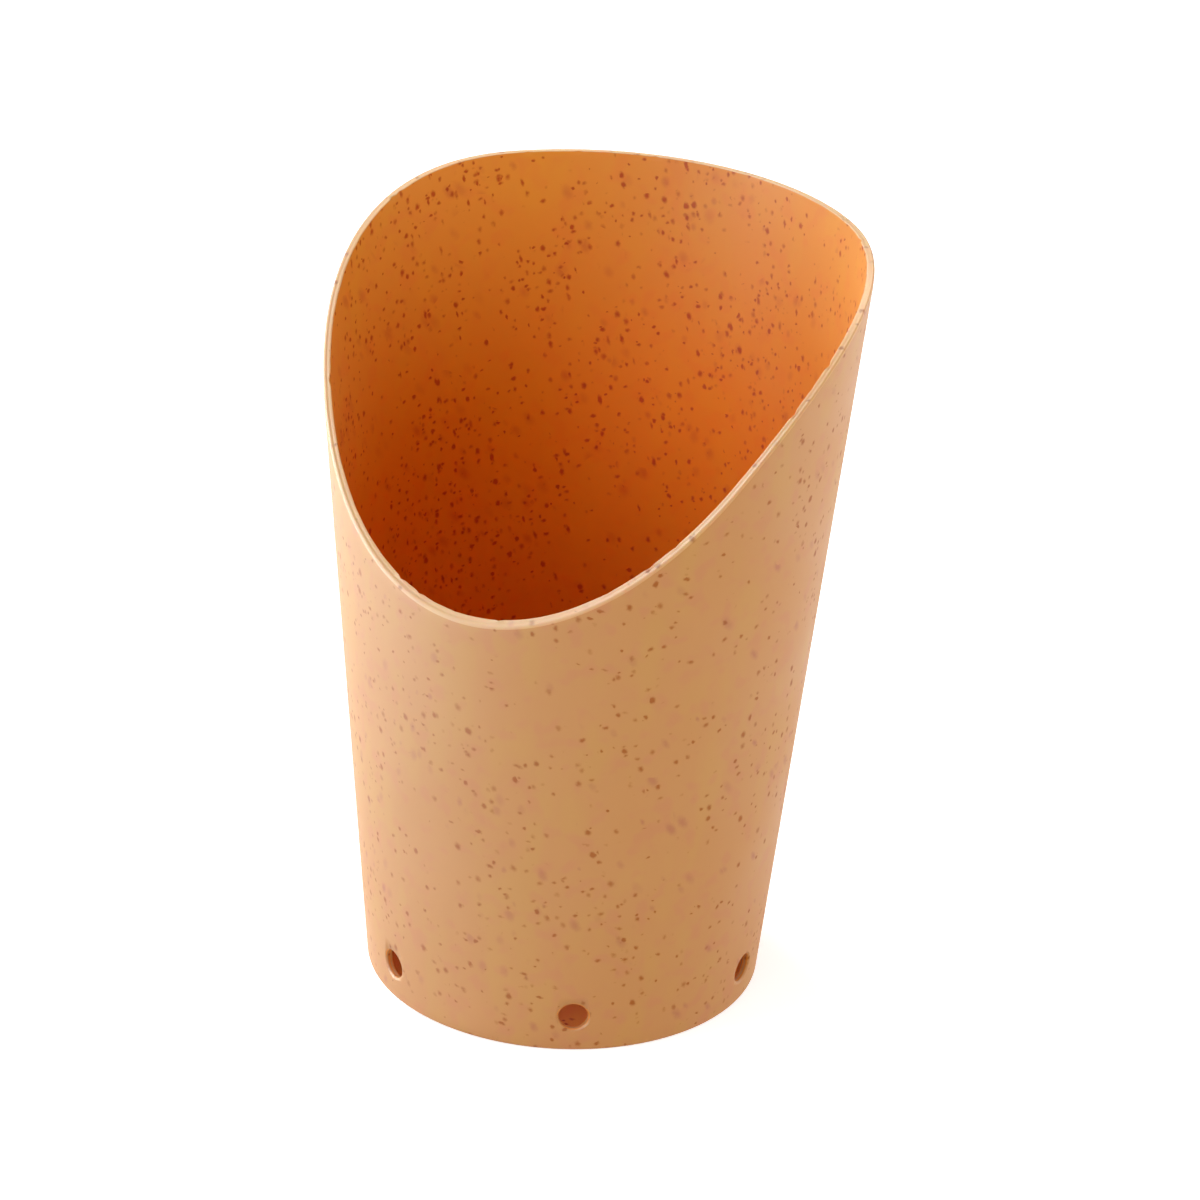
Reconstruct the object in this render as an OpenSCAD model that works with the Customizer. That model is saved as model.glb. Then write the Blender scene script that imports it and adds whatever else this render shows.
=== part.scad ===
// Reusable scoop cup for fries and snacks, moulded in one piece.
// A plain tapered beaker is cut off by a rim that lies level round the back, rolls over
// in one long arc and runs down steeply to a low front. Six vent holes ring the foot.
// The cup stands on z = 0 with its axis on Z. The low front of the rim faces -Y.

/* [Beaker] */
// Outer diameter across the foot
base_d = 62.5; // [56:0.5:70]
// Outer diameter at the height of the back of the rim
top_d = 85; // [80:0.5:92]
// Height of the back of the rim above the table
cup_h = 121.5; // [112:0.5:132]
// Thickness of the side wall
wall_t = 1.25; // [1:0.05:1.6]

/* [Rim] */
// Slope of the straight run down to the front, in degrees from level
rim_slope = 51.2; // [46:0.2:55]
// Radius of the long arc between the slope and the level back
rim_arc_r = 63.5; // [50:0.5:68]
// Distance in front of the axis where the slope would reach the level of the back
rim_meet_y = 0.2; // [-3:0.1:3]
// Radius of the outer edge along the rim
rim_edge_r = 0.35; // [0.2:0.05:0.45]
// Radius of the crisper inner edge along the rim
rim_inner_edge_r = 0.2; // [0.1:0.05:0.3]
// Share of the side profile's tilt that the rim's face takes up across the wall
rim_face_tilt = 0.7; // [0:0.05:1]

/* [Foot] */
// Height of the floor inside the cup
floor_z = 3.2; // [2.8:0.1:3.6]
// Thickness of the floor
floor_t = 1.3; // [1:0.1:1.6]
// Width of the foot ring that the cup stands on
foot_w = 2.2; // [1.8:0.1:3]
// Radius of the outer edge of the foot
foot_edge_r = 0.5; // [0.3:0.05:0.8]
// Radius in the corner between the floor and the side wall
floor_corner_r = 0.6; // [0.4:0.05:0.8]

/* [Vent holes] */
// Number of holes round the foot
hole_count = 6; // [4:1:8]
// Diameter of each hole
hole_d = 4.7; // [4:0.1:5.2]
// Height of the hole centres above the table
hole_z = 6.3; // [6.2:0.1:7]
// Width of the broken outer edge of each hole
hole_chamfer = 0.2; // [0.1:0.05:0.3]

/* [Hidden] */

shell_colour = [0.84, 0.61, 0.41];
base_r = base_d / 2;
top_r = top_d / 2;
// Growth of the outer radius for each millimetre of height
taper = (top_r - base_r) / cup_h;
taper_angle = atan(taper);
// Room that cutting shapes take beyond the cup
spare = 10;
// The plain wall follows the arc in this many short straight runs under the lip
arc_runs = 16;
// Depth under the rim at which the plain wall hands over to the rounded lip,
// which leaves room for the edge radius and for the tilt of the rim's face on the slope
lip_h = 0.1 + rim_edge_r / cos(rim_slope) + (1 - rim_face_tilt) * wall_t * tan(rim_slope);
// The lip's root goes down inside the wall by this much
lip_root = 0.9;
// The lip is this much narrower than the wall on each side, the witness of the mould's parting
lip_inset = 0.04;
lip_steps = 180;
lip_arc_steps = 3;
recess_z = floor_z - floor_t;
recess_r = base_r - foot_w;
round_fn = 180;

// Outer and inner radius of the tapered wall at the height z
function outer_r(z) = base_r + taper * z;
function inner_r(z) = outer_r(z) - wall_t;

// Side profile of the rim: height at the distance y behind the axis.
// The slope and the level back meet at (-rim_meet_y, cup_h), and the arc rounds that corner.
function rim_arc_centre() = [rim_arc_r * tan(rim_slope / 2) - rim_meet_y, cup_h - rim_arc_r];
function rim_profile_z(y) =
    let (behind = y - rim_arc_centre()[0])
    behind > 0 ? cup_h
    : behind > -rim_arc_r * sin(rim_slope) ? cup_h - rim_arc_r + sqrt(rim_arc_r ^ 2 - behind ^ 2)
    : cup_h + (y + rim_meet_y) * tan(rim_slope);

// Height of the rim at the angle a from the low front and the inset w from the outer face.
// The radius depends on the height a little, so a few turns bring the two together.
function rim_z(a, w, z = cup_h, turns = 12) =
    turns == 0 ? z
    : rim_z(a, w, rim_profile_z(-(outer_r(z) - rim_face_tilt * w) * cos(a)), turns - 1);

// How much longer the rim's path is than its plan, which keeps the edge radius true on the slope
function rim_stretch(a) =
    let (rise = rim_z(a + 1, wall_t / 2) - rim_z(a - 1, wall_t / 2))
    let (run = 2 * PI / 180 * (outer_r(rim_z(a, wall_t / 2)) - wall_t / 2))
    sqrt(1 + (rise / run) ^ 2);

// Material between two edges of an outline and the round of radius r that joins them.
// The edges leave the corner in the directions from_angle and to_angle.
module corner_round(corner, from_angle, to_angle, r) {
    half = (to_angle - from_angle) / 2;
    reach = r / tan(half);
    centre = corner + r / sin(half) * [cos(from_angle + half), sin(from_angle + half)];
    difference() {
        polygon([
            corner,
            corner + reach * [cos(from_angle), sin(from_angle)],
            centre,
            corner + reach * [cos(to_angle), sin(to_angle)],
        ]);
        translate(centre) circle(r = r, $fn = round_fn);
    }
}

// Half section of the beaker, with the wall running up to the lip round the back
module beaker_section() {
    wall_end = cup_h - lip_h;
    wall_angle = 90 - taper_angle;
    difference() {
        polygon([[0, 0], [base_r, 0], [outer_r(wall_end), wall_end], [0, wall_end]]);
        polygon([
            [-1, floor_z],
            [inner_r(floor_z), floor_z],
            [inner_r(wall_end + 1), wall_end + 1],
            [-1, wall_end + 1],
        ]);
        polygon([[-1, -1], [recess_r, -1], [recess_r, recess_z], [-1, recess_z]]);
        corner_round([base_r, 0], wall_angle, 180, foot_edge_r);
    }
    corner_round([inner_r(floor_z), floor_z], wall_angle, 180, floor_corner_r);
    corner_round([recess_r, recess_z], 180, 270, floor_corner_r);
}

// Everything in front of and above the rim's slope and arc, seen from +X
module above_rim_outline() {
    front_y = -top_d;
    polygon(concat(
        [[front_y, rim_profile_z(front_y)]],
        [
            for (i = [0:arc_runs])
                let (lean = rim_slope * (1 - i / arc_runs))
                rim_arc_centre() + rim_arc_r * [-sin(lean), cos(lean)]
        ],
        [[rim_arc_centre()[0], cup_h + spare], [front_y, cup_h + spare]]
    ));
}

// Side cut that shapes the front of the rim, lowered by the height of the rounded lip
module rim_cut() {
    translate([-top_d, 0, -lip_h])
        rotate([90, 0, 90])
            linear_extrude(height = 2 * top_d)
                above_rim_outline();
}

// Section across the lip as [inset from the outer face, depth under the rim]
function lip_section() =
    let (root = lip_h + lip_root)
    let (r_out = rim_edge_r)
    let (r_in = rim_inner_edge_r)
    let (left = lip_inset + r_out)
    let (right = wall_t - lip_inset - r_in)
    let (turn = 90 / lip_arc_steps)
    concat(
        [[lip_inset, root]],
        [for (i = [0:lip_arc_steps]) [left - r_out * cos(i * turn), r_out * (1 - sin(i * turn))]],
        [for (i = [0:lip_arc_steps]) [right + r_in * sin(i * turn), r_in * (1 - cos(i * turn))]],
        [[wall_t - lip_inset, root]]
    );

// Point of the lip at the angle a from the low front
function lip_point(a, p) =
    let (z = rim_z(a, p[0]) - p[1] * rim_stretch(a))
    let (r = outer_r(z) - p[0])
    [r * sin(a), -r * cos(a), z];

// Rounded lip that follows the rim all the way round
module rim_lip() {
    section = lip_section();
    sides = len(section);
    points = [
        for (i = [0:lip_steps - 1])
            for (p = section)
                lip_point(i * 360 / lip_steps, p)
    ];
    faces = [
        for (i = [0:lip_steps - 1])
            for (j = [0:sides - 1])
                let (ahead = (i + 1) % lip_steps)
                let (beside = (j + 1) % sides)
                for (face = [
                    [i * sides + j, i * sides + beside, ahead * sides + beside],
                    [i * sides + j, ahead * sides + beside, ahead * sides + j],
                ])
                    face
    ];
    polyhedron(points = points, faces = faces, convexity = 6);
}

// Holes through the side wall, each with a broken outer edge
module vent_holes() {
    wall_r = outer_r(hole_z);
    for (i = [0:hole_count - 1])
        rotate([0, 0, -90 + (i + 0.5) * 360 / hole_count])
            translate([0, 0, hole_z])
                rotate([0, 90, 0]) {
                    translate([0, 0, wall_r - 3 * wall_t])
                        cylinder(d = hole_d, h = 6 * wall_t, $fn = 64);
                    translate([0, 0, wall_r - hole_chamfer])
                        cylinder(
                            d1 = hole_d, d2 = hole_d + 4 * hole_chamfer,
                            h = 2 * hole_chamfer, $fn = 64
                        );
                }
}

// The whole cup
module cup() {
    color(shell_colour)
        difference() {
            union() {
                difference() {
                    rotate_extrude($fn = round_fn) beaker_section();
                    rim_cut();
                }
                rim_lip();
            }
            vent_holes();
        }
}

cup();
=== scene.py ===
"""Looks of a reusable scoop cup for fries and snacks, moulded in one piece.

The cup is a tapered beaker with a rim that lies level round the back, rolls over in one
long arc and runs down steeply to a low front. Its plastic is filled with plant fibre,
which shows as dark flecks. Lengths are in metres, in the part's own frame: the axis is
Z, the table is z = 0 and the low front of the rim faces -Y.
"""

import logging
import math
from dataclasses import dataclass, replace
from enum import Enum

import bpy
from mathutils import Matrix, Vector


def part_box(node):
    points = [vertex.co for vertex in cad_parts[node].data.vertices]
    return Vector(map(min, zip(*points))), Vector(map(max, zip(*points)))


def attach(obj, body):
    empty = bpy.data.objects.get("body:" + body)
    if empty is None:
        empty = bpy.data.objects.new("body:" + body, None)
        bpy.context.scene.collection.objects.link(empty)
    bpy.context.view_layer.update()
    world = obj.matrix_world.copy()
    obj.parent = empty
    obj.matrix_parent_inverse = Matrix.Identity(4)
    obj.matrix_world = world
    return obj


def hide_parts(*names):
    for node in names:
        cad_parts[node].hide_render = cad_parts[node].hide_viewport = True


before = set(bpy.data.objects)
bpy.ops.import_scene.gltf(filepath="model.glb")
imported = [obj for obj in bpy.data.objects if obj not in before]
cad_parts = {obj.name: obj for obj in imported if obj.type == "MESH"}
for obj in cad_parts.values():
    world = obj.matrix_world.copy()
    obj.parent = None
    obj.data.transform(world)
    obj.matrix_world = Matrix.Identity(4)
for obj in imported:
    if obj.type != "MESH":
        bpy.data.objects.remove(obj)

LOG = logging.getLogger("scoop_cup")
MM = 0.001
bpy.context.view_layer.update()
Colour = tuple[float, float, float]
Socket = bpy.types.NodeSocket


class Zone(Enum):
    """The finish that a stretch of the cup's section takes; the lip's is a paler copy of the plastic, a
    painted highlight.
    """

    WALL = 0
    LIP = 1


class FleckKind(Enum):
    """Kinds of plant fibre that show in the plastic."""

    GRAIN = "grain"
    THREAD = "thread"
    BURIED = "buried"


class TreeWriter:
    """Writes nodes into one node tree and links them."""

    def __init__(self, tree: bpy.types.NodeTree) -> None:
        """Takes the tree to write into.

        Args:
            tree: A geometry or shader node tree.
        """
        self.tree = tree
        self.column = 0

    def node(self, kind: str, **settings: object) -> bpy.types.Node:
        """Adds a node and sets its own options.

        Args:
            kind: Blender's name for the node type.
            **settings: Attributes of the node, such as operation.

        Returns:
            The new node.
        """
        made = self.tree.nodes.new(kind)
        made.location = (self.column * 190.0, -40.0 * (self.column % 7))
        self.column += 1
        for name, value in settings.items():
            setattr(made, name, value)
        return made

    def feed(self, target: Socket, value: object) -> None:
        """Links a socket to the target, or sets the target's own value.

        Args:
            target: The input socket to feed.
            value: An output socket, or a plain value.
        """
        if isinstance(value, bpy.types.NodeSocket):
            self.tree.links.new(value, target)
        else:
            target.default_value = value

    def math(self, operation: str, *values: object) -> Socket:
        """Adds a Math node.

        Args:
            operation: The node's operation, such as ADD.
            *values: Its inputs in order, sockets or numbers.

        Returns:
            The result socket.
        """
        made = self.node("ShaderNodeMath", operation=operation)
        for target, value in zip(made.inputs, values):
            self.feed(target, value)
        return made.outputs[0]

    def add(self, a: object, b: object) -> Socket:
        """Returns a + b."""
        return self.math("ADD", a, b)

    def subtract(self, a: object, b: object) -> Socket:
        """Returns a - b."""
        return self.math("SUBTRACT", a, b)

    def multiply(self, a: object, b: object) -> Socket:
        """Returns a * b."""
        return self.math("MULTIPLY", a, b)

    def divide(self, a: object, b: object) -> Socket:
        """Returns a / b."""
        return self.math("DIVIDE", a, b)

    def choose(self, test: Socket, if_true: object, if_false: object) -> Socket:
        """Returns one of two numbers by a 0 or 1 test.

        Args:
            test: A socket that is 1 for the first number and 0 for the second.
            if_true: The number where the test is 1.
            if_false: The number where the test is 0.

        Returns:
            The chosen number's socket.
        """
        made = self.node("ShaderNodeMix", data_type="FLOAT")
        self.feed(made.inputs[0], test)
        self.feed(made.inputs[2], if_false)
        self.feed(made.inputs[3], if_true)
        return made.outputs[0]

    def ramp(
        self, value: Socket, low: object, high: object, to_low: float = 0.0, to_high: float = 1.0
    ) -> Socket:
        """Maps a range smoothly onto another one.

        Args:
            value: The number to map.
            low: Where the input range starts.
            high: Where it ends.
            to_low: The result at low.
            to_high: The result at high.

        Returns:
            The mapped number's socket.
        """
        made = self.node("ShaderNodeMapRange", interpolation_type="SMOOTHSTEP", clamp=True)
        for target, given in zip(made.inputs, (value, low, high, to_low, to_high)):
            self.feed(target, given)
        return made.outputs[0]

    def noise(self, spot: Socket, scale: float, detail: float = 1.0) -> bpy.types.Node:
        """Adds a noise texture.

        Args:
            spot: The point at which it is read.
            scale: Its scale.
            detail: Its detail.

        Returns:
            The texture's node.
        """
        made = self.node("ShaderNodeTexNoise", noise_dimensions="3D")
        self.feed(made.inputs["Vector"], spot)
        made.inputs["Scale"].default_value = scale
        made.inputs["Detail"].default_value = detail
        return made

    def change(self, kind: str, geometry: Socket, **feeds: object) -> Socket:
        """Adds a node that changes a geometry.

        Args:
            kind: Blender's name for the node type.
            geometry: The geometry that goes in.
            **feeds: The node's other inputs by name.

        Returns:
            The socket of the changed geometry.
        """
        made = self.node(kind)
        self.feed(made.inputs["Geometry"], geometry)
        for name, value in feeds.items():
            self.feed(made.inputs[name], value)
        return made.outputs["Geometry"]

    def realized(self, geometry: Socket) -> Socket:
        """Returns the geometry with its instances made real."""
        return self.change("GeometryNodeRealizeInstances", geometry)

    def vector(self, x: object, y: object, z: object) -> Socket:
        """Returns the vector (x, y, z)."""
        made = self.node("ShaderNodeCombineXYZ")
        for target, value in zip(made.inputs, (x, y, z)):
            self.feed(target, value)
        return made.outputs[0]

    def position(self) -> bpy.types.Node:
        """Returns a node that gives X, Y and Z of each point."""
        made = self.node("ShaderNodeSeparateXYZ")
        self.feed(made.inputs[0], self.node("GeometryNodeInputPosition").outputs[0])
        return made

    def seen_white(self) -> Socket:
        """Returns 1 for rays from the camera, off a gloss or through a clear body, else 0."""
        rays = self.node("ShaderNodeLightPath").outputs
        seen = self.math("MAXIMUM", rays["Is Camera Ray"], rays["Is Glossy Ray"])
        return self.math("MAXIMUM", seen, rays["Is Transmission Ray"])

    def attribute(self, name: str) -> Socket:
        """Reads a named number of the geometry.

        Args:
            name: The attribute's name.

        Returns:
            Its value's socket.
        """
        made = self.node("GeometryNodeInputNamedAttribute", data_type="FLOAT")
        made.inputs["Name"].default_value = name
        return made.outputs["Attribute"]

    def store(self, geometry: Socket, name: str, value: object, domain: str = "POINT") -> Socket:
        """Keeps a number on the geometry under a name.

        Args:
            geometry: The geometry to write on.
            name: The attribute's name.
            value: The number to keep.
            domain: Where it is kept, points or instances.

        Returns:
            The geometry with the attribute.
        """
        made = self.node("GeometryNodeStoreNamedAttribute", data_type="FLOAT", domain=domain)
        self.feed(made.inputs["Geometry"], geometry)
        made.inputs["Name"].default_value = name
        self.feed(made.inputs["Value"], value)
        return made.outputs["Geometry"]


@dataclass(frozen=True)
class TreeInput:
    """One named input of a Geometry Nodes tree.

    Attributes:
        name: The name that the modifier shows.
        kind: The socket type.
        value: What the modifier sets it to.
    """

    name: str
    kind: str
    value: object


def geometry_tree(name: str, inputs: list[TreeInput]) -> tuple[TreeWriter, dict[str, Socket], Socket]:
    """Starts a Geometry Nodes tree with named inputs.

    Args:
        name: The tree's name.
        inputs: Its inputs besides the geometry.

    Returns:
        The writer, the input sockets by name, and the socket that takes the result.
    """
    tree = bpy.data.node_groups.new(name, "GeometryNodeTree")
    tree.interface.new_socket("Geometry", in_out="INPUT", socket_type="NodeSocketGeometry")
    for entry in inputs:
        tree.interface.new_socket(entry.name, in_out="INPUT", socket_type=entry.kind)
    tree.interface.new_socket("Geometry", in_out="OUTPUT", socket_type="NodeSocketGeometry")
    writer = TreeWriter(tree)
    sockets = {out.name: out for out in writer.node("NodeGroupInput").outputs if out.name}
    result = writer.node("NodeGroupOutput").inputs["Geometry"]
    return writer, sockets, result


def run_tree(piece: bpy.types.Object, tree: bpy.types.NodeTree, inputs: list[TreeInput]) -> None:
    """Puts a tree on a piece as a modifier and sets its inputs by identifier.

    Args:
        piece: The object that the tree works on.
        tree: The Geometry Nodes tree.
        inputs: The inputs with their values.
    """
    modifier = piece.modifiers.new(tree.name, "NODES")
    modifier.node_group = tree
    identifiers = {
        item.name: item.identifier
        for item in tree.interface.items_tree
        if item.item_type == "SOCKET" and item.in_out == "INPUT"
    }
    for entry in inputs:
        modifier[identifiers[entry.name]] = entry.value


def plain_piece(source: bpy.types.Object, name: str) -> bpy.types.Object:
    """Turns an object's evaluated modifiers into a plain mesh object.

    Args:
        source: The object with its modifiers, which is removed.
        name: The new piece's name.

    Returns:
        The plain piece, at the origin.
    """
    graph = bpy.context.evaluated_depsgraph_get()
    mesh = bpy.data.meshes.new_from_object(source.evaluated_get(graph), depsgraph=graph)
    mesh.name = name
    source.modifiers.clear()
    bpy.data.objects.remove(source)
    piece = bpy.data.objects.new(name, mesh)
    bpy.context.scene.collection.objects.link(piece)
    return piece


@dataclass(frozen=True)
class SectionPoint:
    """One point of the cup's section, which the shell tree turns into a ring.

    Attributes:
        across: Radius from the axis, or inset from the outer face where it hugs the wall.
        hug: 1 where the point follows the tapered wall, 0 where it has its own radius.
        low: Height above the table of the point's lower end.
        share: How far the point is on its way from that lower end to the rim.
        deep: Depth under the rim at the upper end.
        waver: How much the moulded edge wanders there, from 0 to 1.
        inside: 1 on the surfaces that face into the cup, 0 on those that face out.
        zone: The finish of the stretch that ends at this point.
    """

    across: float
    hug: float
    low: float
    share: float = 0.0
    deep: float = 0.0
    waver: float = 0.0
    inside: float = 0.0
    zone: Zone = Zone.WALL


@dataclass
class ScoopCup:
    """The moulded cup, with the sizes that the part's source gives it.

    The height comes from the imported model's box.
    """

    RING_NUMBERS = ("across", "hug", "low", "share", "deep", "waver", "inside")
    # Shade weight on the holes' walls, and where the inside's painted shade and the lip's painted highlight
    # take over.
    PLUG_SHADE_DEPTH = 0.1
    INNER_FROM = 0.2
    LIP_FROM = 0.75
    SETTLE_TURNS = 10

    foot_radius: float = 31.25 * MM
    top_radius: float = 42.5 * MM
    wall: float = 1.25 * MM
    floor_height: float = 3.2 * MM
    floor_thickness: float = 1.3 * MM
    foot_width: float = 2.2 * MM
    foot_edge: float = 0.5 * MM
    corner_round: float = 0.6 * MM
    rim_slope: float = math.radians(51.2)
    rim_arc: float = 63.5 * MM
    rim_meet: float = 0.2 * MM
    rim_face_tilt: float = 0.7
    lip_edge: float = 0.36 * MM
    lip_inner_edge: float = 0.16 * MM
    lip_height: float = 1.6 * MM
    lip_inset: float = 0.045 * MM
    lip_groove: float = 0.06 * MM
    edge_waver: float = 0.23 * MM
    shade_fade_depth: float = 50.0 * MM
    hole_count: int = 6
    hole_radius: float = 2.35 * MM
    hole_height: float = 6.3 * MM
    hole_edge: float = 0.34 * MM
    steps_around: int = 320

    def __post_init__(self) -> None:
        """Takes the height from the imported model."""
        low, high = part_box("cup")
        self.height = high.z - low.z
        self.taper = (self.top_radius - self.foot_radius) / self.height

    @staticmethod
    def arc(
        centre: tuple[float, float], radius: float, start: float, end: float, steps: int
    ) -> list[tuple[float, float]]:
        """Points along a round, in the plane of the section.

        Args:
            centre: The round's centre as (across, up).
            radius: Its radius.
            start: The angle of its first point, in degrees.
            end: The angle of its last point, in degrees.
            steps: How many runs it has.

        Returns:
            The points from start to end.
        """
        angles = [math.radians(start + (end - start) * i / steps) for i in range(steps + 1)]
        return [(centre[0] + radius * math.cos(a), centre[1] + radius * math.sin(a)) for a in angles]

    def foot_points(self) -> list[SectionPoint]:
        """Section from the middle of the underside to the foot's outer edge."""
        recess = self.floor_height - self.floor_thickness
        inner = self.foot_radius - self.foot_width
        small = 0.25 * MM
        spots = [(0.0, recess)]
        spots += [(inner * share, recess) for share in (0.25, 0.5, 0.75, 0.93)]
        corner = self.corner_round
        spots += self.arc((inner - corner, recess - corner), corner, 90, 0, 6)
        spots += self.arc((inner + small, small), small, 180, 270, 4)
        spots += self.arc((self.foot_radius - self.foot_edge, self.foot_edge), self.foot_edge, 270, 345, 7)
        return [SectionPoint(across, 0.0, up) for across, up in spots]

    def wall_points(self, inset: float, start: float, upward: bool) -> list[SectionPoint]:
        """Rings of the side wall between the foot and the lip.

        Args:
            inset: Distance from the outer face.
            start: Height of the lowest ring.
            upward: Whether the rings run up or down.

        Returns:
            The rings' section points, close together round the holes.
        """
        near_step, near_rings, far_rings, past_holes = 0.004, 21, 26, 0.09
        shares = [0.0] + [near_step * i for i in range(1, near_rings + 1)]
        shares += [past_holes + (1.0 - past_holes) * i / far_rings for i in range(1, far_rings + 1)]
        inside = 0.0 if upward else 1.0
        points = [SectionPoint(inset, 1.0, start, share, self.lip_height, 0.0, inside) for share in shares]
        return points if upward else points[::-1]

    def lip_points(self) -> list[SectionPoint]:
        """Section over the rounded rim, from the outer face to the inner one."""
        edge, inset, wall = self.lip_edge, self.lip_inset, self.wall
        crisp = self.lip_inner_edge
        root, middle, top = 1.2 * MM, 0.9 * MM, 0.6 * MM
        rows = [(0.0, root), (0.3 * inset, middle), (0.8 * inset, top)]
        finish_start = len(rows) + 1
        rows += [(across, edge - up) for across, up in self.arc((inset + edge, 0.0), edge, 180, 90, 7)]
        groove_middle, fall = 0.54, 7.0
        for side in (-0.1, 0.0, 0.1):
            rows.append((wall * (groove_middle + side), self.lip_groove * (1.0 - abs(side) * fall)))
        first_inner = len(rows)
        rows += [(across, crisp - up) for across, up in self.arc((wall - crisp, 0.0), crisp, 90, 0, 6)]
        last_inner = len(rows)
        finish_end = last_inner - 2
        rows += [(wall, top), (wall, middle), (wall, root)]
        points = []
        for i, (across, deep) in enumerate(rows):
            # The lip's paler finish is a painted highlight; the last rows of the inner round take the
            # inside's painted shade.
            zone = Zone.LIP if finish_start <= i < finish_end else Zone.WALL
            waver = 1.0 if first_inner <= i < last_inner else 0.0
            inside = 1.0 if i >= finish_end else 0.0
            points.append(SectionPoint(across, 1.0, 0.0, 1.0, deep, waver, inside, zone))
        return points

    def floor_points(self) -> list[SectionPoint]:
        """Section from the corner inside the cup to the middle of the floor."""
        lean = math.degrees(math.atan(self.taper))
        radius = self.corner_round
        wall_at_floor = self.foot_radius + self.taper * self.floor_height - self.wall
        reach = radius / math.tan(math.radians((90 + lean) / 2))
        centre = (wall_at_floor - reach, self.floor_height + radius)
        spots = self.arc(centre, radius, -lean, -90, 7)[1:]
        spots += [(wall_at_floor * share, self.floor_height) for share in (0.93, 0.75, 0.5, 0.25, 0.0)]
        return [SectionPoint(across, 0.0, up, inside=1.0) for across, up in spots]

    def section(self) -> list[SectionPoint]:
        """The whole section, from the middle of the underside round to the middle of the floor."""
        outer = self.wall_points(0.0, 0.62 * MM, True)
        inner = self.wall_points(self.wall, self.floor_height + self.corner_round, False)
        return self.foot_points() + outer + self.lip_points() + inner + self.floor_points()

    def section_object(self) -> bpy.types.Object:
        """Puts the section's numbers on the points of a small mesh.

        Returns:
            The object that the shell tree starts from.
        """
        points = self.section()
        mesh = bpy.data.meshes.new("cup_section")
        mesh.from_pydata([(i * MM, 0.0, 0.0) for i in range(len(points))], [], [])
        for name in self.RING_NUMBERS:
            values = mesh.attributes.new(name, "FLOAT", "POINT").data
            values.foreach_set("value", [getattr(point, name) for point in points])
        zones = mesh.attributes.new("zone", "FLOAT", "POINT").data
        zones.foreach_set("value", [float(point.zone.value) for point in points])
        holder = bpy.data.objects.new("cup_section", mesh)
        bpy.context.scene.collection.objects.link(holder)
        return holder

    def shell_inputs(self) -> list[TreeInput]:
        """The named sizes that the shell tree takes."""
        length = "NodeSocketFloat"
        return [
            TreeInput("Steps Around", "NodeSocketInt", self.steps_around),
            TreeInput("Foot Radius", length, self.foot_radius),
            TreeInput("Taper", length, self.taper),
            TreeInput("Back Height", length, self.height),
            TreeInput("Rim Slope", length, self.rim_slope),
            TreeInput("Rim Arc", length, self.rim_arc),
            TreeInput("Rim Meet", length, self.rim_meet),
            TreeInput("Face Tilt", length, self.rim_face_tilt),
            TreeInput("Edge Waver", length, self.edge_waver),
            TreeInput("Fade Depth", length, self.shade_fade_depth),
        ]

    def shell_tree(self) -> bpy.types.NodeTree:
        """Builds the tree that turns the section round the axis and cuts it by the rim.

        Each ring of points first finds the height at which the tapered wall meets the rim's
        side profile, by a few turns of a repeat zone, and then takes its place.

        Returns:
            The tree.
        """
        write, given, result = geometry_tree("cup_shell", self.shell_inputs())
        section = given["Geometry"]
        size = write.node("GeometryNodeAttributeDomainSize", component="MESH")
        write.feed(size.inputs[0], section)
        rows = size.outputs["Point Count"]
        grid = write.node("GeometryNodeMeshGrid")
        write.feed(grid.inputs["Vertices X"], write.add(given["Steps Around"], 1))
        write.feed(grid.inputs["Vertices Y"], rows)
        index = write.node("GeometryNodeInputIndex").outputs[0]
        column = write.math("FLOOR", write.divide(write.add(index, 0.5), rows))
        row = write.subtract(index, write.multiply(column, rows))
        turn = write.multiply(write.divide(column, given["Steps Around"]), 2 * math.pi)
        geometry = write.store(grid.outputs["Mesh"], "turn", turn)
        for name in (*self.RING_NUMBERS, "zone"):
            sample = write.node("GeometryNodeSampleIndex", data_type="FLOAT", domain="POINT")
            write.feed(sample.inputs["Geometry"], section)
            write.feed(sample.inputs["Value"], write.attribute(name))
            write.feed(sample.inputs["Index"], row)
            geometry = write.store(geometry, name, sample.outputs[0])
        geometry = write.store(geometry, "rim", given["Back Height"])
        geometry = self.find_rim(write, given, geometry)
        placed = write.change("GeometryNodeSetPosition", geometry, Position=self.place(write, given))
        # Weight of the painted shade inside the cup.
        geometry = write.store(placed, "inner_depth", self.inner_depth(write, given))
        merged = write.change("GeometryNodeMergeByDistance", geometry, Distance=0.0005 * MM)
        write.feed(result, write.realized(merged))
        return write.tree

    @staticmethod
    def inner_depth(write: TreeWriter, given: dict[str, Socket]) -> Socket:
        """How deep inside the cup a point lies, from 0 outside and at the rim to 1, as the weight of the
        painted shade that turns the inner colour darker and more saturated.
        """
        split = write.position()
        low, high, shallow = 8.0 * MM, 35.0 * MM, 0.3
        under = write.subtract(write.attribute("rim"), split.outputs[2])
        on_wall = write.ramp(under, 0.0, given["Fade Depth"], shallow, 1.0)
        near_floor = write.ramp(split.outputs[2], low, high, shallow, 1.0)
        depth = write.choose(write.attribute("hug"), write.multiply(on_wall, near_floor), shallow)
        return write.multiply(write.attribute("inside"), depth)

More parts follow.
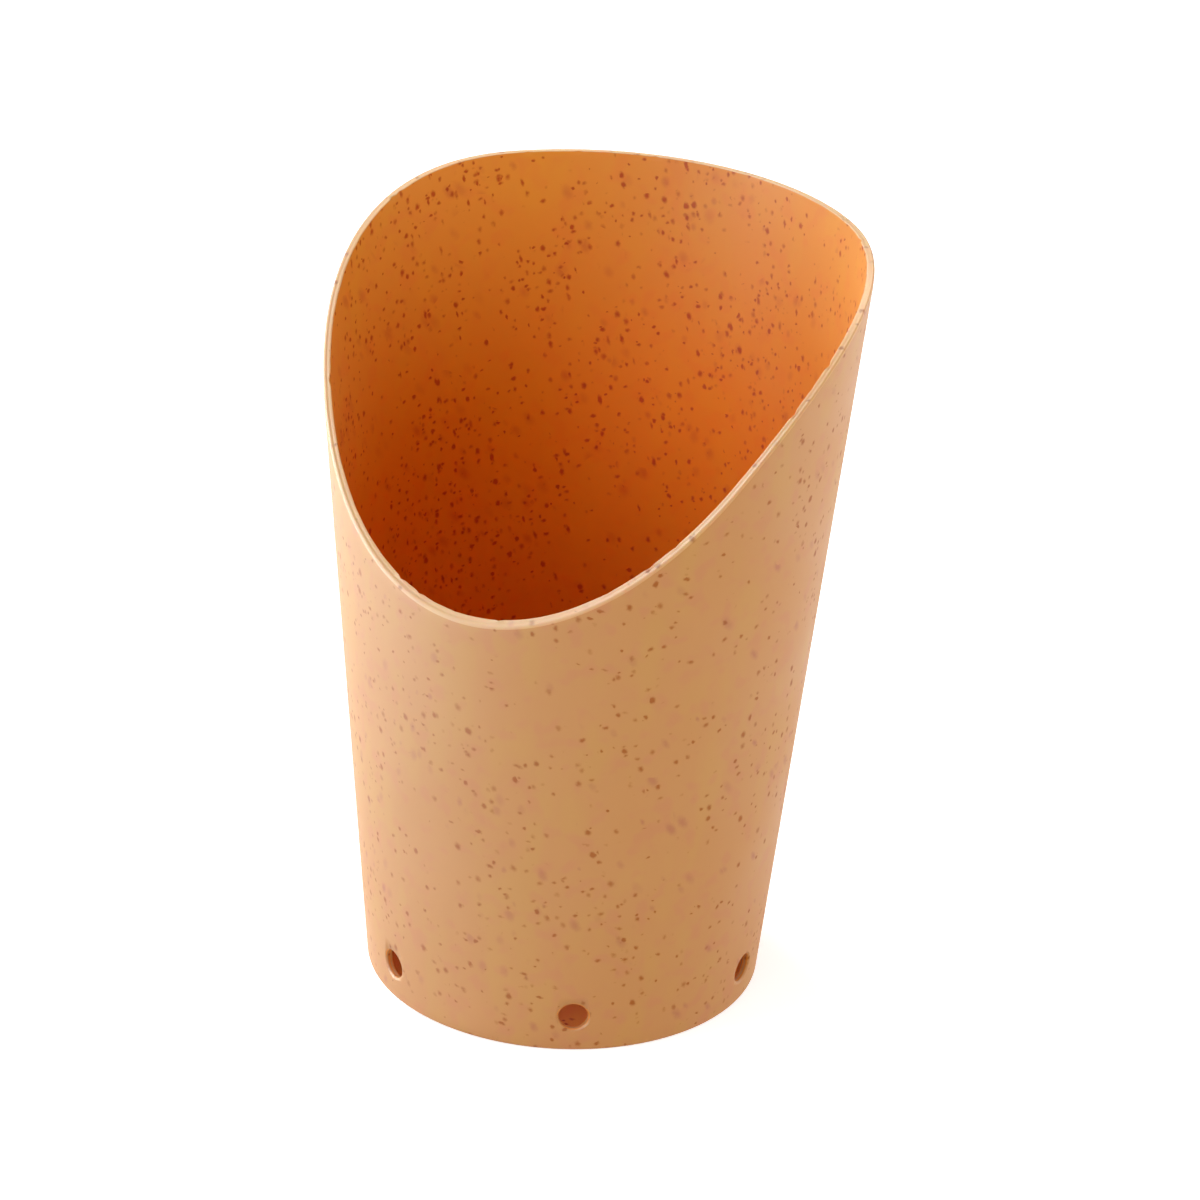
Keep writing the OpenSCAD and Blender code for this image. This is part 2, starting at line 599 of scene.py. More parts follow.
    @staticmethod
    def profile(write: TreeWriter, given: dict[str, Socket], behind: Socket) -> tuple[Socket, Socket]:
        """Height and steepness of the rim's side profile.

        Args:
            write: The tree's writer.
            given: The tree's input sockets.
            behind: Distance behind the axis.

        Returns:
            The height's socket and the steepness's socket.
        """
        slope = write.math("TANGENT", given["Rim Slope"])
        half_slope = write.math("TANGENT", write.multiply(given["Rim Slope"], 0.5))
        reach = write.multiply(given["Rim Arc"], half_slope)
        past = write.subtract(behind, write.subtract(reach, given["Rim Meet"]))
        squared = write.subtract(write.math("POWER", given["Rim Arc"], 2.0), write.multiply(past, past))
        up = write.math("SQRT", write.math("MAXIMUM", squared, 1e-9))
        on_arc = write.add(write.subtract(given["Back Height"], given["Rim Arc"]), up)
        climb = write.multiply(write.add(behind, given["Rim Meet"]), slope)
        on_slope = write.add(given["Back Height"], climb)
        arc_start = write.multiply(given["Rim Arc"], write.math("SINE", given["Rim Slope"]))
        is_arc = write.math("GREATER_THAN", past, write.multiply(arc_start, -1.0))
        is_level = write.math("GREATER_THAN", past, 0.0)
        height = write.choose(is_level, given["Back Height"], write.choose(is_arc, on_arc, on_slope))
        steep_arc = write.divide(write.multiply(past, -1.0), up)
        steep = write.choose(is_level, 0.0, write.choose(is_arc, steep_arc, slope))
        return height, steep

    def behind(self, write: TreeWriter, given: dict[str, Socket]) -> Socket:
        """How far behind the axis a ring point meets the rim, from the rim height found so far."""
        radius = write.add(given["Foot Radius"], write.multiply(given["Taper"], write.attribute("rim")))
        radius = write.subtract(radius, write.multiply(given["Face Tilt"], write.attribute("across")))
        return write.multiply(write.multiply(radius, -1.0), write.math("COSINE", write.attribute("turn")))

    def find_rim(self, write: TreeWriter, given: dict[str, Socket], geometry: Socket) -> Socket:
        """Repeats the meeting of wall and side profile until the rim height settles.

        Args:
            write: The tree's writer.
            given: The tree's input sockets.
            geometry: The grid with its numbers.

        Returns:
            The grid with each point's rim height and the profile's steepness there.
        """
        start = write.node("GeometryNodeRepeatInput")
        end = write.node("GeometryNodeRepeatOutput")
        start.pair_with_output(end)
        start.inputs["Iterations"].default_value = self.SETTLE_TURNS
        write.feed(start.inputs["Geometry"], geometry)
        height, _ = self.profile(write, given, self.behind(write, given))
        geometry = write.store(start.outputs["Geometry"], "rim", height)
        write.feed(end.inputs["Geometry"], geometry)
        _, steep = self.profile(write, given, self.behind(write, given))
        return write.store(end.outputs["Geometry"], "steep", steep)

    def place(self, write: TreeWriter, given: dict[str, Socket]) -> Socket:
        """Position of each ring point.

        Args:
            write: The tree's writer.
            given: The tree's input sockets.

        Returns:
            The position's socket.
        """
        turn = write.attribute("turn")
        sine, cosine = write.math("SINE", turn), write.math("COSINE", turn)
        climb = write.multiply(write.attribute("steep"), sine)
        stretch = write.math("SQRT", write.add(write.multiply(climb, climb), 1.0))
        top = write.subtract(write.attribute("rim"), write.multiply(write.attribute("deep"), stretch))
        up = write.choose(write.attribute("share"), top, write.attribute("low"))
        wander = self.wander(write, given, write.vector(sine, cosine, 0.0))
        across = write.add(write.attribute("across"), wander)
        hugging = write.subtract(write.add(given["Foot Radius"], write.multiply(given["Taper"], up)), across)
        radius = write.choose(write.attribute("hug"), hugging, across)
        forward = write.multiply(write.multiply(radius, cosine), -1.0)
        return write.vector(write.multiply(radius, sine), forward, up)

    @staticmethod
    def wander(write: TreeWriter, given: dict[str, Socket], round_spot: Socket) -> Socket:
        """Small waver of the lip's inner edge, with a few sharper nicks."""
        nick_start, nick_end, nick_reach = 0.59, 0.67, -1.3
        ripple = write.subtract(write.noise(round_spot, 14.0, 2.0).outputs[0], 0.5)
        nicks = write.noise(round_spot, 41.0)
        nick = write.ramp(nicks.outputs[0], nick_start, nick_end, 0.0, nick_reach)
        both = write.multiply(write.add(ripple, nick), given["Edge Waver"])
        return write.multiply(both, write.attribute("waver"))

    def hole_inputs(self) -> list[TreeInput]:
        """The named sizes that the vent hole tree takes."""
        length = "NodeSocketFloat"
        return [
            TreeInput("Hole Count", "NodeSocketInt", self.hole_count),
            TreeInput("Hole Radius", length, self.hole_radius),
            TreeInput("Hole Height", length, self.hole_height),
            TreeInput("Hole Edge", length, self.hole_edge),
            TreeInput("Foot Radius", length, self.foot_radius),
            TreeInput("Taper", length, self.taper),
            TreeInput("Wall", length, self.wall),
        ]

    def hole_tree(self) -> bpy.types.NodeTree:
        """Builds the tree that cuts the ring of vent holes, each with rounded edges.

        One plug is made, set at each place round the foot, bent to the wall's curve and
        flared where it leaves the wall on either side. The plugs are then cut from the shell.

        Returns:
            The tree.
        """
        write, given, result = geometry_tree("vent_holes", self.hole_inputs())
        margin = 0.5 * MM
        plug = write.node("GeometryNodeMeshCylinder", fill_type="NGON")
        plug.inputs["Vertices"].default_value = 56
        plug.inputs["Side Segments"].default_value = 44
        write.feed(plug.inputs["Radius"], 1.0)
        write.feed(plug.inputs["Depth"], write.add(given["Wall"], 2 * margin))
        split = write.position()
        geometry = write.store(plug.outputs["Mesh"], "plug_x", split.outputs[0])
        geometry = write.store(geometry, "plug_y", split.outputs[1])
        out = write.subtract(split.outputs[2], write.multiply(given["Wall"], 0.5))
        geometry = write.store(geometry, "plug_out", out)
        # The holes' walls take the lip's paler finish, a painted highlight, with a touch of painted shade.
        geometry = write.store(geometry, "inner_depth", self.PLUG_SHADE_DEPTH)
        geometry = write.store(geometry, "zone", float(Zone.LIP.value))
        ring = write.node("GeometryNodeMeshCircle")
        write.feed(ring.inputs["Vertices"], given["Hole Count"])
        copies = write.node("GeometryNodeInstanceOnPoints")
        write.feed(copies.inputs["Points"], ring.outputs["Mesh"])
        write.feed(copies.inputs["Instance"], geometry)
        number = write.add(write.node("GeometryNodeInputIndex").outputs[0], 0.5)
        turn = write.multiply(write.divide(number, given["Hole Count"]), 2 * math.pi)
        geometry = write.store(copies.outputs["Instances"], "plug_turn", turn, "INSTANCE")
        apart = write.realized(geometry)
        bent = write.change("GeometryNodeSetPosition", apart, Position=self.bend_plug(write, given))
        cut = write.node("GeometryNodeMeshBoolean", operation="DIFFERENCE", solver="EXACT")
        write.feed(cut.inputs["Mesh 1"], given["Geometry"])
        write.feed(cut.inputs["Mesh 2"], bent)
        write.feed(result, write.realized(write.change("GeometryNodeSetShadeSmooth", cut.outputs["Mesh"])))
        return write.tree

    @staticmethod
    def bend_plug(write: TreeWriter, given: dict[str, Socket]) -> Socket:
        """Place of each point of the plugs, in the wall's own curve.

        Args:
            write: The tree's writer.
            given: The tree's input sockets.

        Returns:
            The position's socket.
        """
        out = write.attribute("plug_out")
        edge = given["Hole Edge"]

        def flare(past: Socket) -> Socket:
            """Growth of the plug's radius where it rounds over an edge, past being 1 at the face."""
            rounded = write.math("MINIMUM", write.math("MAXIMUM", past, 0.0), 0.97)
            fall = write.math("SQRT", write.subtract(1.0, write.multiply(rounded, rounded)))
            return write.multiply(write.subtract(1.0, fall), edge)

        outer = flare(write.add(write.divide(out, edge), 1.0))
        inner = flare(write.subtract(1.0, write.divide(write.add(out, given["Wall"]), edge)))
        radius = write.add(given["Hole Radius"], write.add(outer, inner))
        height = write.add(given["Hole Height"], write.multiply(radius, write.attribute("plug_y")))
        wall = write.add(given["Foot Radius"], write.multiply(given["Taper"], height))
        aside = write.divide(write.multiply(radius, write.attribute("plug_x")), wall)
        turn = write.add(write.attribute("plug_turn"), aside)
        reach = write.add(wall, out)
        forward = write.multiply(write.multiply(reach, write.math("COSINE", turn)), -1.0)
        return write.vector(write.multiply(reach, write.math("SINE", turn)), forward, height)

    def finish_tree(self, inputs: list[TreeInput]) -> bpy.types.NodeTree:
        """Builds the tree that gives the wall, the inside and the lip their finishes. The inside's finish is
        a redder, more saturated copy of the plastic, a painted shade, and the lip's a paler copy, a painted
        highlight.

        Args:
            inputs: The finishes.

        Returns:
            The tree.
        """
        write, given, result = geometry_tree("cup_finish", inputs)
        is_inner_shaded = write.math("GREATER_THAN", write.attribute("inner_depth"), self.INNER_FROM)
        is_lip_highlight = write.math("GREATER_THAN", write.attribute("zone"), self.LIP_FROM)
        geometry = write.realized(given["Geometry"])
        for name, where in (("Wall Finish", True), ("Inner Finish", is_inner_shaded), ("Lip Finish", is_lip_highlight)):
            feeds = {"Selection": where, "Material": given[name]}
            geometry = write.change("GeometryNodeSetMaterial", geometry, **feeds)
        write.feed(result, geometry)
        return write.tree

    def build(
        self,
        wall_finish: bpy.types.Material,
        inner_shaded_finish: bpy.types.Material,
        lip_highlight_finish: bpy.types.Material,
    ) -> None:
        """Makes the cup's mesh and puts it in the CAD node's place. The inner finish paints the shade inside
        the cup as a redder, more saturated copy of the plastic, and the lip finish paints a highlight on the
        rim and the holes' edges as a paler one.

        Args:
            wall_finish: The material of the outer wall and the foot.
            inner_shaded_finish: The material of the inner wall and the floor.
            lip_highlight_finish: The material of the rim's lip.
        """
        holder = self.section_object()
        run_tree(holder, self.shell_tree(), self.shell_inputs())
        shell = plain_piece(holder, "cup_shell")
        self.point_outwards(shell.data)
        run_tree(shell, self.hole_tree(), self.hole_inputs())
        finishes = [
            TreeInput("Wall Finish", "NodeSocketMaterial", wall_finish),
            TreeInput("Inner Finish", "NodeSocketMaterial", inner_shaded_finish),
            TreeInput("Lip Finish", "NodeSocketMaterial", lip_highlight_finish),
        ]
        run_tree(shell, self.finish_tree(finishes), finishes)
        piece = plain_piece(shell, "scoop_cup")
        helpers = {entry.name for entry in piece.data.attributes if entry.data_type == "FLOAT"}
        for name in helpers - {"inner_depth"}:
            piece.data.attributes.remove(piece.data.attributes[name])
        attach(piece, "root")
        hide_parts("cup")
        LOG.info("%s: %d faces", piece.name, len(piece.data.polygons))

    @staticmethod
    def point_outwards(mesh: bpy.types.Mesh) -> None:
        """Turns the faces round if they enclose a negative volume.

        Args:
            mesh: A closed mesh.
        """
        volume = 0.0
        for face in mesh.polygons:
            corners = [mesh.vertices[i].co for i in face.vertices]
            for b, c in zip(corners[1:], corners[2:]):
                volume += corners[0].dot(b.cross(c)) / 6.0
        if volume < 0.0:
            mesh.flip_normals()
        LOG.info("%s: volume %.2f ml", mesh.name, abs(volume) * 1e6)


@dataclass(frozen=True)
class FleckLayer:
    """One layer of fibre flecks, as values for the fleck group.

    Attributes:
        kind: The kind of fibre.
        spacing: Mean distance between places where a fleck may lie.
        size: Radius of the largest fleck, as a share of the spacing.
        share: Share of those places that hold a fleck.
        stretch: How many times longer than wide a fleck is.
        turn: Direction that the flecks lie in, in degrees about X, Y and Z.
        strength: How much of the fleck's colour shows.
        softness: Width of the fleck's blurred edge, as a share of its size.
    """

    kind: FleckKind
    spacing: float
    size: float
    share: float
    stretch: float
    turn: Colour
    strength: float
    softness: float


class FleckGroup:
    """Shader node group that scatters flecks through the plastic.

    The smallest and the faintest fleck are given as shares of the largest and the strongest.
    """

    SMALLEST = 0.35
    FAINTEST = 0.45

    def __init__(self) -> None:
        """Builds the group once, with named inputs and outputs."""
        tree = bpy.data.node_groups.new("fibre_flecks", "ShaderNodeTree")
        for name, kind in (
            ("Vector", "NodeSocketVector"),
            ("Spacing", "NodeSocketFloat"),
            ("Size", "NodeSocketFloat"),
            ("Share", "NodeSocketFloat"),
            ("Softness", "NodeSocketFloat"),
        ):
            tree.interface.new_socket(name, in_out="INPUT", socket_type=kind)
        tree.interface.new_socket("Mask", in_out="OUTPUT", socket_type="NodeSocketFloat")
        write = TreeWriter(tree)
        given = write.node("NodeGroupInput").outputs
        cells = write.node("ShaderNodeTexVoronoi", voronoi_dimensions="3D", feature="F1")
        write.feed(cells.inputs["Vector"], given["Vector"])
        write.feed(cells.inputs["Scale"], write.divide(1.0, given["Spacing"]))
        luck = write.node("ShaderNodeSeparateColor")
        write.feed(luck.inputs[0], cells.outputs["Color"])
        holds = write.math("LESS_THAN", luck.outputs[0], given["Share"])
        vary = write.add(write.multiply(luck.outputs[1], 1.0 - self.SMALLEST), self.SMALLEST)
        radius = write.multiply(given["Size"], vary)
        soft = write.multiply(radius, write.subtract(1.0, given["Softness"]))
        inside = write.ramp(cells.outputs["Distance"], soft, radius, 1.0, 0.0)
        depth = write.add(write.multiply(luck.outputs[2], 1.0 - self.FAINTEST), self.FAINTEST)
        mask = write.multiply(write.multiply(inside, holds), depth)
        write.feed(write.node("NodeGroupOutput").inputs["Mask"], mask)
        self.tree = tree


@dataclass(frozen=True)
class FibrePlastic:
    """Satin plastic filled with plant fibre.

    Attributes:
        name: The material's name.
        body: Colour of the plastic on the outside.
        deep: Colour of the plastic deep inside the cup, a painted shade that turns it darker and more
            saturated there.
        warm: Tint of its yellower clouds.
        rosy: Tint of its pinker clouds.
        fleck: Tint of the plastic where a dark fibre shows.
        veil: Tint of the plastic over fibres that lie under the surface.
        roughness: Roughness between the flecks.
        gloss_index: Refractive index that sets the strength of the gloss.
        glow: Share of light that scatters inside the wall.
        grain_height: Height of the moulded surface's fine grain.
        layers: The layers of fibre flecks.
    """

    name: str
    body: Colour
    deep: Colour
    warm: Colour
    rosy: Colour
    fleck: Colour
    veil: Colour
    roughness: float
    gloss_index: float
    glow: float
    grain_height: float
    layers: tuple[FleckLayer, ...]

    def build(self, flecks: FleckGroup) -> bpy.types.Material:
        """Writes the material's nodes.

        Args:
            flecks: The shared group of fibre flecks.

        Returns:
            The material.
        """
        material = bpy.data.materials.new(self.name)
        material.use_nodes = True
        material.node_tree.nodes.clear()
        write = TreeWriter(material.node_tree)
        spot = write.node("ShaderNodeTexCoord").outputs["Object"]
        # Weight of the painted shade inside the cup.
        depth = write.node("ShaderNodeAttribute", attribute_name="inner_depth").outputs["Fac"]
        colour = self.clouds(write, spot, depth)
        dark, buried = self.fleck_masks(write, spot, depth, flecks)
        colour = self.blend(write, "MULTIPLY", buried, colour, self.veil)
        colour = self.blend(write, "MULTIPLY", dark, colour, self.fleck)
        shader = write.node("ShaderNodeBsdfPrincipled")
        write.feed(shader.inputs["Base Color"], colour)
        write.feed(shader.inputs["Roughness"], self.sheen_of(write, spot, dark))
        shader.inputs["IOR"].default_value = self.gloss_index
        shader.inputs["Subsurface Weight"].default_value = self.glow
        shader.inputs["Subsurface Radius"].default_value = (1.0, 0.42, 0.14)
        shader.inputs["Subsurface Scale"].default_value = 1.1 * MM
        write.feed(shader.inputs["Normal"], self.grain(write, spot))
        output = write.node("ShaderNodeOutputMaterial")
        write.feed(output.inputs["Surface"], shader.outputs["BSDF"])
        LOG.info("finish %s: %d nodes", self.name, len(material.node_tree.nodes))
        return material

    @staticmethod
    def blend(write: TreeWriter, way: str, mask: Socket, base: Socket | Colour, over: Colour) -> Socket:
        """Lays a colour over another by a mask.

        Args:
            write: The material's writer.
            way: The way the two colours mix.
            mask: Where the upper one shows, from 0 to 1.
            base: The colour underneath.
            over: The colour laid over it.

        Returns:
            The mixed colour's socket.
        """
        mix = write.node("ShaderNodeMix", data_type="RGBA", blend_type=way)
        write.feed(mix.inputs[0], mask)
        write.feed(mix.inputs[6], (*base, 1.0) if isinstance(base, tuple) else base)
        write.feed(mix.inputs[7], (*over, 1.0))
        return mix.outputs[2]

    def clouds(self, write: TreeWriter, spot: Socket, depth: Socket) -> Socket:
        """Colour of the plastic with its painted shade inside the cup and its soft ochre and pink clouding.

        Args:
            write: The material's writer.
            spot: The surface point.
            depth: How deep inside the cup it lies, which weights the painted shade.

        Returns:
            The colour's socket.
        """
        flow = write.node("ShaderNodeMapping")
        write.feed(flow.inputs["Vector"], spot)
        flow.inputs["Scale"].default_value = (1.0, 1.0, 0.4)
        broad = write.noise(flow.outputs[0], 170.0)
        fine = write.noise(spot, 310.0)
        yellow = write.ramp(broad.outputs[0], 0.48, 0.66, 0.0, 0.9)
        pink = write.ramp(fine.outputs[0], 0.52, 0.7, 0.0, 0.9)
        # Painted shade: darker, more saturated colour deep inside the cup.
        base = self.blend(write, "MIX", depth, self.body, self.deep)
        tinted = self.blend(write, "MULTIPLY", yellow, base, self.warm)
        return self.blend(write, "MULTIPLY", pink, tinted, self.rosy)

    def fleck_masks(
        self, write: TreeWriter, spot: Socket, depth: Socket, flecks: FleckGroup
    ) -> tuple[Socket, Socket]:
        """Masks of the fibres at the surface and of those under it.

        Args:
            write: The material's writer.
            spot: The surface point.
            depth: How deep inside the cup it lies, where the fibres show more.
            flecks: The shared group of fibre flecks.

        Returns:
            The two masks.
        """
        crowd = write.noise(spot, 75.0)
        crowding = write.ramp(crowd.outputs[0], 0.36, 0.66, 0.45, 1.45)
        crowding = write.multiply(crowding, write.add(write.multiply(depth, 0.5), 1.0))
        ragged = self.roughen(write, spot)
        dark, buried = None, None
        for layer in self.layers:
            mapping = write.node("ShaderNodeMapping", vector_type="TEXTURE")
            write.feed(mapping.inputs["Vector"], ragged)
            mapping.inputs["Rotation"].default_value = tuple(math.radians(a) for a in layer.turn)
            mapping.inputs["Scale"].default_value = (layer.stretch, 1.0, 1.0)
            mapping.inputs["Location"].default_value = tuple(a * MM for a in layer.turn)
            group = write.node("ShaderNodeGroup", node_tree=flecks.tree)
            write.feed(group.inputs["Vector"], mapping.outputs[0])
            group.inputs["Spacing"].default_value = layer.spacing
            group.inputs["Size"].default_value = layer.size
            write.feed(group.inputs["Share"], write.multiply(crowding, layer.share))
            group.inputs["Softness"].default_value = layer.softness
            mask = write.multiply(group.outputs["Mask"], layer.strength)
            if layer.kind is FleckKind.BURIED:
                buried = mask if buried is None else write.math("MAXIMUM", buried, mask)
            else:
                dark = mask if dark is None else write.math("MAXIMUM", dark, mask)
        return dark, buried

    @staticmethod
    def roughen(write: TreeWriter, spot: Socket) -> Socket:
        """Shifts the surface point a little, so that flecks lose their round outline."""
        shift = 0.42 * MM
        noise = write.noise(spot, 1600.0)
        push = write.node("ShaderNodeVectorMath", operation="MULTIPLY_ADD")
        write.feed(push.inputs[0], noise.outputs["Color"])
        push.inputs[1].default_value = (shift, shift, shift)
        write.feed(push.inputs[2], spot)
        return push.outputs[0]

    def sheen_of(self, write: TreeWriter, spot: Socket, dark: Socket) -> Socket:
        """Roughness, a little uneven and duller on the fibres."""
        uneven = write.noise(spot, 55.0)
        base = write.ramp(uneven.outputs[0], 0.3, 0.7, self.roughness - 0.05, self.roughness + 0.06)
        return write.add(base, write.multiply(dark, 0.08))

    def grain(self, write: TreeWriter, spot: Socket) -> Socket:
        """Fine moulded grain and the faint bumps of the fibres."""
        fine = write.noise(spot, 1500.0, 0.0)
        broad = write.noise(spot, 90.0, 0.0)
        height = write.add(fine.outputs[0], write.multiply(broad.outputs[0], 2.0))
        bump = write.node("ShaderNodeBump")
        bump.inputs["Strength"].default_value = 0.35
        bump.inputs["Distance"].default_value = self.grain_height
        write.feed(bump.inputs["Height"], height)
        return bump.outputs[0]


@dataclass(frozen=True)
class Lamp:
    """A soft square lamp.

    Attributes:
        name: The lamp's name.
        degrees: Angle right of the camera, in degrees.
        distance: Distance from the cup's axis.
        height: Height above the floor.
        size: Side of the lamp.
        watts: Its power.
        colour: Its colour.
        gloss_only: Whether it shows in the gloss alone, like a pale wall beside the cup.
    """

    name: str
    degrees: float
    distance: float
    height: float
    size: float
    watts: float
    colour: Colour = (1.0, 1.0, 1.0)
    gloss_only: bool = False


@dataclass
class Studio:
    """White floor, soft lamps and camera.

    Attributes:
        azimuth: Where the camera stands round the cup, in degrees right of its low front.
        ground_distance: Distance of the camera from the cup's axis, along the floor.
        camera_height: Height of the camera.
        yaw: How far the camera looks right of the axis, in degrees.
        pitch: How far it looks down, in degrees.
        roll: How far the picture leans, in degrees.
        lens: Focal length on a 36 mm wide picture, in millimetres.
    """

    azimuth: float = 26.02
    ground_distance: float = 0.68695
    camera_height: float = 0.39126
    yaw: float = 0.2842
    pitch: float = 25.5535
    roll: float = 2.753
    lens: float = 146.84

    LAMPS = (
        Lamp("behind", -135.0, 0.8, 0.5, 0.6, 6.8, (0.84, 1.02, 1.1)),
        Lamp("key", -68.0, 0.73, 0.66, 0.55, 2.25, (0.92, 1.0, 1.05)),
        Lamp("front", -30.0, 0.9, 0.3, 0.6, 2.4),
        Lamp("fill", 75.0, 0.85, 0.35, 0.6, 3.2),
        Lamp("edge", 115.0, 0.4, 0.08, 0.2, 0.19),
        Lamp("satin", -85.0, 0.7, 0.55, 0.6, 17.0, (0.9, 1.0, 1.05), gloss_only=True),
        Lamp("satin_low", -105.0, 0.3, 0.07, 0.16, 1.4, (0.9, 1.0, 1.05), gloss_only=True),
        Lamp("satin_near", -68.0, 0.29, 0.06, 0.14, 1.4, (0.9, 1.0, 1.05), gloss_only=True),
        Lamp("satin_edge", 115.0, 0.4, 0.08, 0.2, 1.0, gloss_only=True),
        Lamp("satin_rim", 175.0, 0.5, 0.9, 0.5, 16.0, (1.0, 0.82, 0.62), gloss_only=True),
    )

    def around(self, degrees: float, distance: float, height: float) -> Vector:
        """A point seen from the camera's side of the cup.

        Args:
            degrees: Angle right of the camera, in degrees.
            distance: Distance from the cup's axis.
            height: Height above the floor.

        Returns:
            The point.
        """
        a = math.radians(self.azimuth + degrees)
        return Vector((distance * math.sin(a), -distance * math.cos(a), height))

    def camera(self) -> None:
        """Stands the camera where the photograph was taken."""
        data = bpy.data.cameras.new("view")
        data.lens = self.lens
        data.sensor_width = 36.0
        data.clip_start, data.clip_end = 0.05, 20.0
        heading = math.radians(self.azimuth) + math.radians(-self.yaw)
        pitch = math.radians(self.pitch)
        level = math.cos(pitch)
        forward = Vector((-math.sin(heading) * level, math.cos(heading) * level, -math.sin(pitch)))
        right = Vector((math.cos(heading), math.sin(heading), 0.0))
        above = right.cross(forward)
        roll = math.radians(self.roll)
        side = math.cos(roll) * right + math.sin(roll) * above
        above = math.cos(roll) * above - math.sin(roll) * right
        turn = Matrix((side, above, -forward)).transposed().to_4x4()
        view = bpy.data.objects.new("view", data)
        place = self.around(0.0, self.ground_distance, self.camera_height)
        view.matrix_world = Matrix.Translation(place) @ turn
        bpy.context.scene.collection.objects.link(view)
        bpy.context.scene.camera = view

    def lamp(self, lamp: Lamp) -> None:
        """Adds a soft square lamp that faces the cup.

        Args:
            lamp: Its place, size and power.
        """
        data = bpy.data.lights.new(lamp.name, "AREA")
        data.shape = "SQUARE"
        data.size = lamp.size
        data.energy = lamp.watts
        data.color = lamp.colour
        light = bpy.data.objects.new(lamp.name, data)
        light.location = self.around(lamp.degrees, lamp.distance, lamp.height)
        light.visible_camera = False
        light.visible_diffuse = not lamp.gloss_only
        aim = Vector((0.0, 0.0, 0.06)) - light.location
        light.rotation_euler = aim.to_track_quat("-Z", "Y").to_euler()
        bpy.context.scene.collection.objects.link(light)

    def world(self, strength: float) -> None:
        """Lights the cup evenly from all sides, and shows white to the camera and in gloss.

        Args:
            strength: Strength of the even light.
        """
        world = bpy.data.worlds.new("studio")
        world.use_nodes = True
        world.node_tree.nodes.clear()
        write = TreeWriter(world.node_tree)
        background = write.node("ShaderNodeBackground")
        background.inputs["Color"].default_value = (1.0, 1.0, 1.0, 1.0)
        write.feed(background.inputs["Strength"], write.choose(write.seen_white(), 1.0, strength))
        output = write.node("ShaderNodeOutputWorld")
        write.feed(output.inputs["Surface"], background.outputs[0])
        bpy.context.scene.world = world

    def floor(self, half: float, brightness: float) -> None:
        """Lays the white floor.

        Args:
            half: Half the floor's side.
            brightness: Light that the floor adds of its own to what the camera sees.
        """
        mesh = bpy.data.meshes.new("floor")
        corners = [(-half, -half, 0), (half, -half, 0), (half, half, 0), (-half, half, 0)]
        mesh.from_pydata(corners, [], [(0, 1, 2, 3)])
        floor = bpy.data.objects.new("floor", mesh)
        bpy.context.scene.collection.objects.link(floor)
        material = bpy.data.materials.new("white_floor")
        material.use_nodes = True
        material.node_tree.nodes.clear()
        write = TreeWriter(material.node_tree)
        shader = write.node("ShaderNodeBsdfPrincipled")
        shader.inputs["Base Color"].default_value = (0.86, 0.86, 0.86, 1.0)
        shader.inputs["Roughness"].default_value = 0.9
        shader.inputs["Specular IOR Level"].default_value = 0.0
        shader.inputs["Emission Color"].default_value = (1.0, 1.0, 1.0, 1.0)
        write.feed(shader.inputs["Emission Strength"], write.multiply(write.seen_white(), brightness))
        output = write.node("ShaderNodeOutputMaterial")
        write.feed(output.inputs["Surface"], shader.outputs["BSDF"])
        mesh.materials.append(material)

    def build(self) -> None:
        """Sets up the floor, the light and the camera."""
        self.world(0.32)
        self.floor(2.2, 0.56)
        for lamp in self.LAMPS:
            self.lamp(lamp)
        self.camera()
        bpy.context.scene.view_settings.view_transform = "Standard"
        LOG.info("studio: floor, world, %d lamps and camera", len(self.LAMPS))


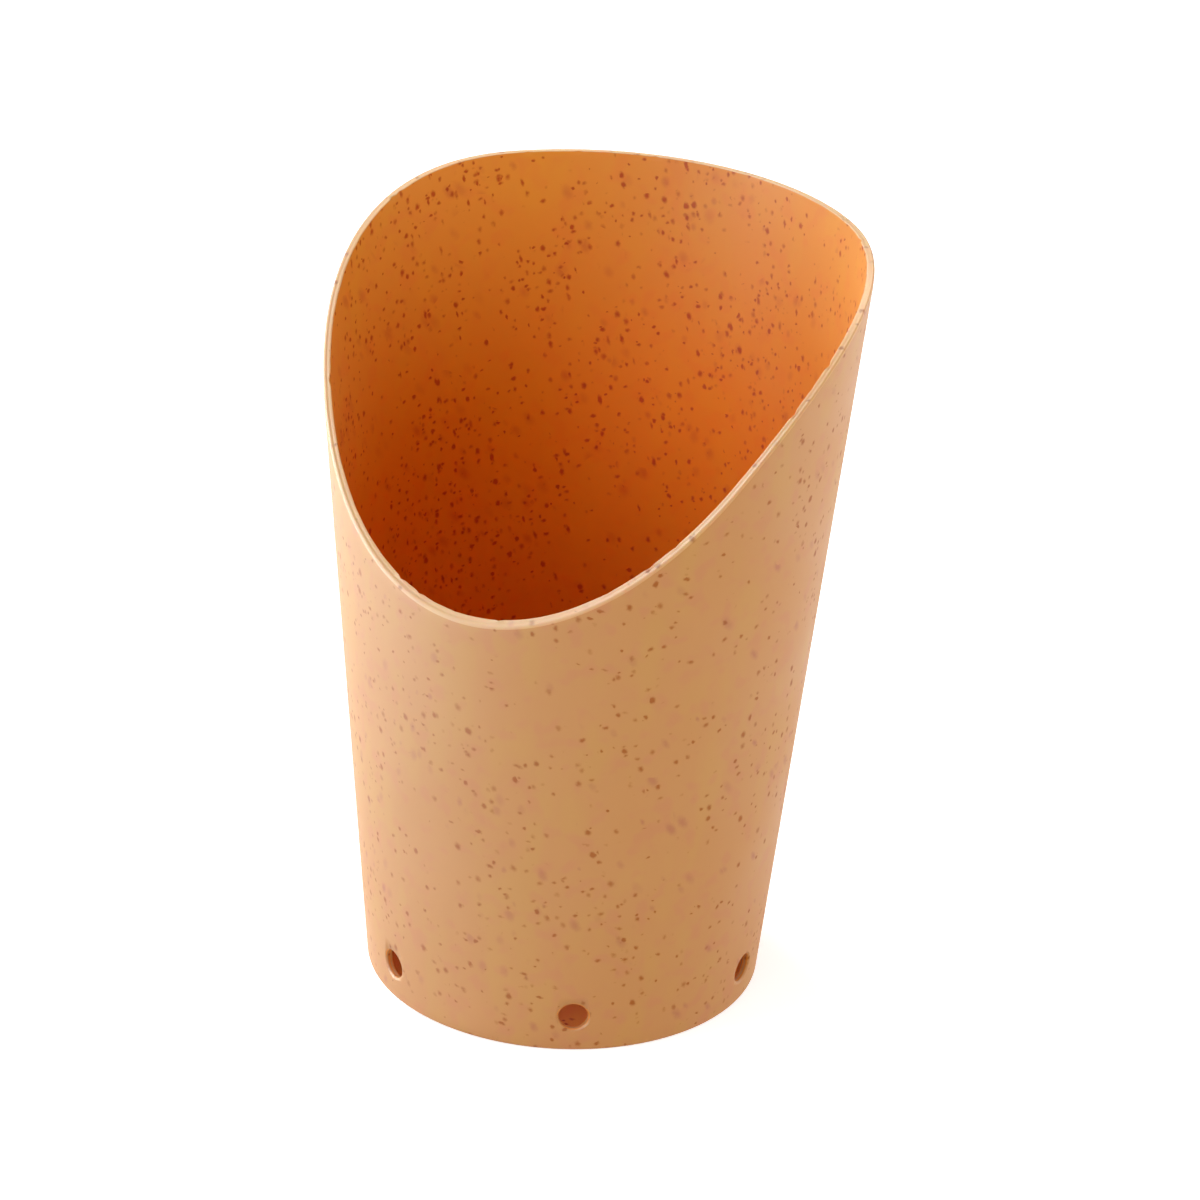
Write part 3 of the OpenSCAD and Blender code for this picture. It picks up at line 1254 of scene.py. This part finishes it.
def dress_cup() -> None:
    """Builds the cup with its three finishes."""
    sparse = (
        FleckLayer(FleckKind.GRAIN, 1.6 * MM, 0.47, 0.36, 1.25, (20.0, 62.0, 10.0), 1.6, 0.92),
        FleckLayer(FleckKind.GRAIN, 1.25 * MM, 0.44, 0.21, 1.5, (70.0, -15.0, 40.0), 1.5, 0.92),
        FleckLayer(FleckKind.THREAD, 1.7 * MM, 0.29, 0.3, 2.4, (8.0, 12.0, 25.0), 1.5, 0.88),
        FleckLayer(FleckKind.BURIED, 2.5 * MM, 0.46, 0.4, 2.0, (35.0, 50.0, 80.0), 0.85, 0.9),
    )
    dense = (
        FleckLayer(FleckKind.GRAIN, 1.4 * MM, 0.48, 0.44, 1.3, (10.0, 78.0, 20.0), 1.6, 0.92),
        FleckLayer(FleckKind.GRAIN, 1.2 * MM, 0.46, 0.35, 1.4, (70.0, -15.0, 40.0), 1.5, 0.92),
        FleckLayer(FleckKind.THREAD, 1.65 * MM, 0.31, 0.42, 2.5, (8.0, 72.0, 25.0), 1.5, 0.88),
        FleckLayer(FleckKind.BURIED, 2.7 * MM, 0.52, 0.55, 2.0, (35.0, 50.0, 80.0), 0.8, 0.9),
    )
    # Each finish's deep colour is painted shade deep inside the cup.
    wall = FibrePlastic(
        name="fibre_plastic",
        body=(0.56, 0.245, 0.069),
        deep=(0.5, 0.22, 0.03),
        warm=(1.0, 1.06, 0.95),
        rosy=(1.0, 0.915, 1.07),
        fleck=(0.64, 0.36, 0.0),
        veil=(0.8, 0.58, 0.8),
        roughness=0.58,
        gloss_index=1.5,
        glow=0.0,
        grain_height=0.012 * MM,
        layers=sparse,
    )
    # The inside's copy is redder and more saturated: painted shade and bounced light inside the cup.
    inner = replace(
        wall,
        name="fibre_plastic_inner",
        body=(0.73, 0.28, 0.034),
        deep=(0.80, 0.196, 0.0),
        fleck=(0.61, 0.27, 0.0),
        gloss_index=1.34,
        layers=dense,
    )
    # The lip's copy is paler: a painted highlight on the rim and the holes' edges.
    lip = FibrePlastic(
        name="fibre_plastic_lip",
        body=(0.68, 0.365, 0.14),
        deep=(0.68, 0.335, 0.11),
        warm=(1.0, 1.05, 0.98),
        rosy=(1.0, 0.96, 1.04),
        fleck=(0.6, 0.4, 0.25),
        veil=(0.88, 0.75, 0.9),
        roughness=0.5,
        gloss_index=1.45,
        glow=0.5,
        grain_height=0.02 * MM,
        layers=sparse,
    )
    flecks = FleckGroup()
    ScoopCup().build(wall.build(flecks), inner.build(flecks), lip.build(flecks))


def main() -> None:
    """Builds the cup and the studio in order."""
    logging.basicConfig(level=logging.INFO, format="%(name)s %(message)s")
    dress_cup()
    Studio().build()


if __name__ == "__main__":
    main()
